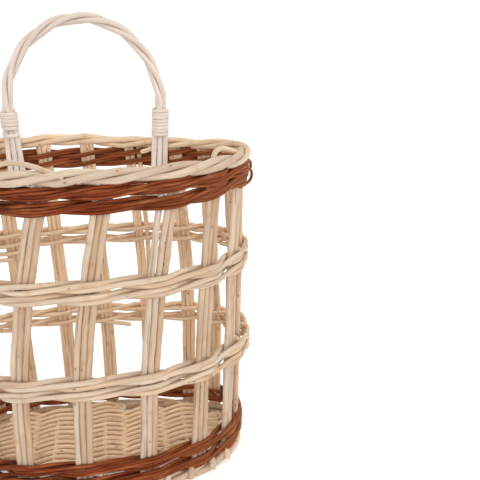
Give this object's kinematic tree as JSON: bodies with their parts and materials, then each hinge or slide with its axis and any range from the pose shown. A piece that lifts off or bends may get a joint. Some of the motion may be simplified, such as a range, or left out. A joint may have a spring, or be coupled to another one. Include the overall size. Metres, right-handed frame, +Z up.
{
  "type": "wall hanging planter",
  "caption": "Open lattice wicker wall planter with a rounded front and flat back, dyed and natural woven bands, a rope-like rim and a twisted hoop handle lashed to the back wall.",
  "frame": {"origin": "middle of the plan's bounding box, on the flats that the foot border stands on", "axes": "+Z up, +Y towards the wall that the flat back hangs against, +X to the right seen from the front"},
  "size_m": [0.305, 0.168, 0.4149],
  "materials": {
    "peeled_willow_stakes": "dry peeled willow, matte",
    "peeled_willow": "dry peeled willow, matte",
    "chestnut_dyed_willow": "dyed willow, satin",
    "pale_cane": "pale cane, matte"
  },
  "bodies": {
    "root": {"stake_01": "peeled_willow_stakes", "stake_02": "peeled_willow_stakes", "stake_03": "peeled_willow_stakes", "stake_04": "peeled_willow_stakes", "stake_05": "peeled_willow_stakes", "stake_06": "peeled_willow_stakes", "stake_07": "peeled_willow_stakes", "stake_08": "peeled_willow_stakes", "stake_09": "peeled_willow_stakes", "stake_10": "peeled_willow_stakes", "stake_11": "peeled_willow_stakes", "stake_12": "peeled_willow_stakes", "stake_13": "peeled_willow_stakes", "stake_14": "peeled_willow_stakes", "stake_15": "peeled_willow_stakes", "stake_16": "peeled_willow_stakes", "stake_17": "peeled_willow_stakes", "stake_18": "peeled_willow_stakes", "upper_wale_weaver_1": "chestnut_dyed_willow", "upper_wale_weaver_2": "chestnut_dyed_willow", "upper_wale_weaver_3": "chestnut_dyed_willow", "upper_band_weaver_1": "peeled_willow", "upper_band_weaver_2": "peeled_willow", "upper_band_weaver_3": "peeled_willow", "lower_band_weaver_1": "peeled_willow", "lower_band_weaver_2": "peeled_willow", "lower_band_weaver_3": "peeled_willow", "lower_wale_weaver_1": "chestnut_dyed_willow", "lower_wale_weaver_2": "chestnut_dyed_willow", "lower_wale_weaver_3": "chestnut_dyed_willow", "rim_border_rod_1": "peeled_willow", "rim_border_rod_2": "peeled_willow", "rim_border_rod_3": "peeled_willow", "foot_border_rod_1": "peeled_willow", "foot_border_rod_2": "peeled_willow", "foot_border_rod_3": "peeled_willow", "base_stick_1": "peeled_willow", "base_stick_2": "peeled_willow", "base_stick_3": "peeled_willow", "base_stick_4": "peeled_willow", "base_stick_5": "peeled_willow", "base_weaver_1": "peeled_willow", "base_weaver_2": "peeled_willow", "handle_rod_1": "pale_cane", "handle_rod_2": "pale_cane", "handle_rod_3": "pale_cane", "lashing_right": "pale_cane", "lashing_left": "pale_cane", "tie_left": "pale_cane"}
  },
  "joints": []
}
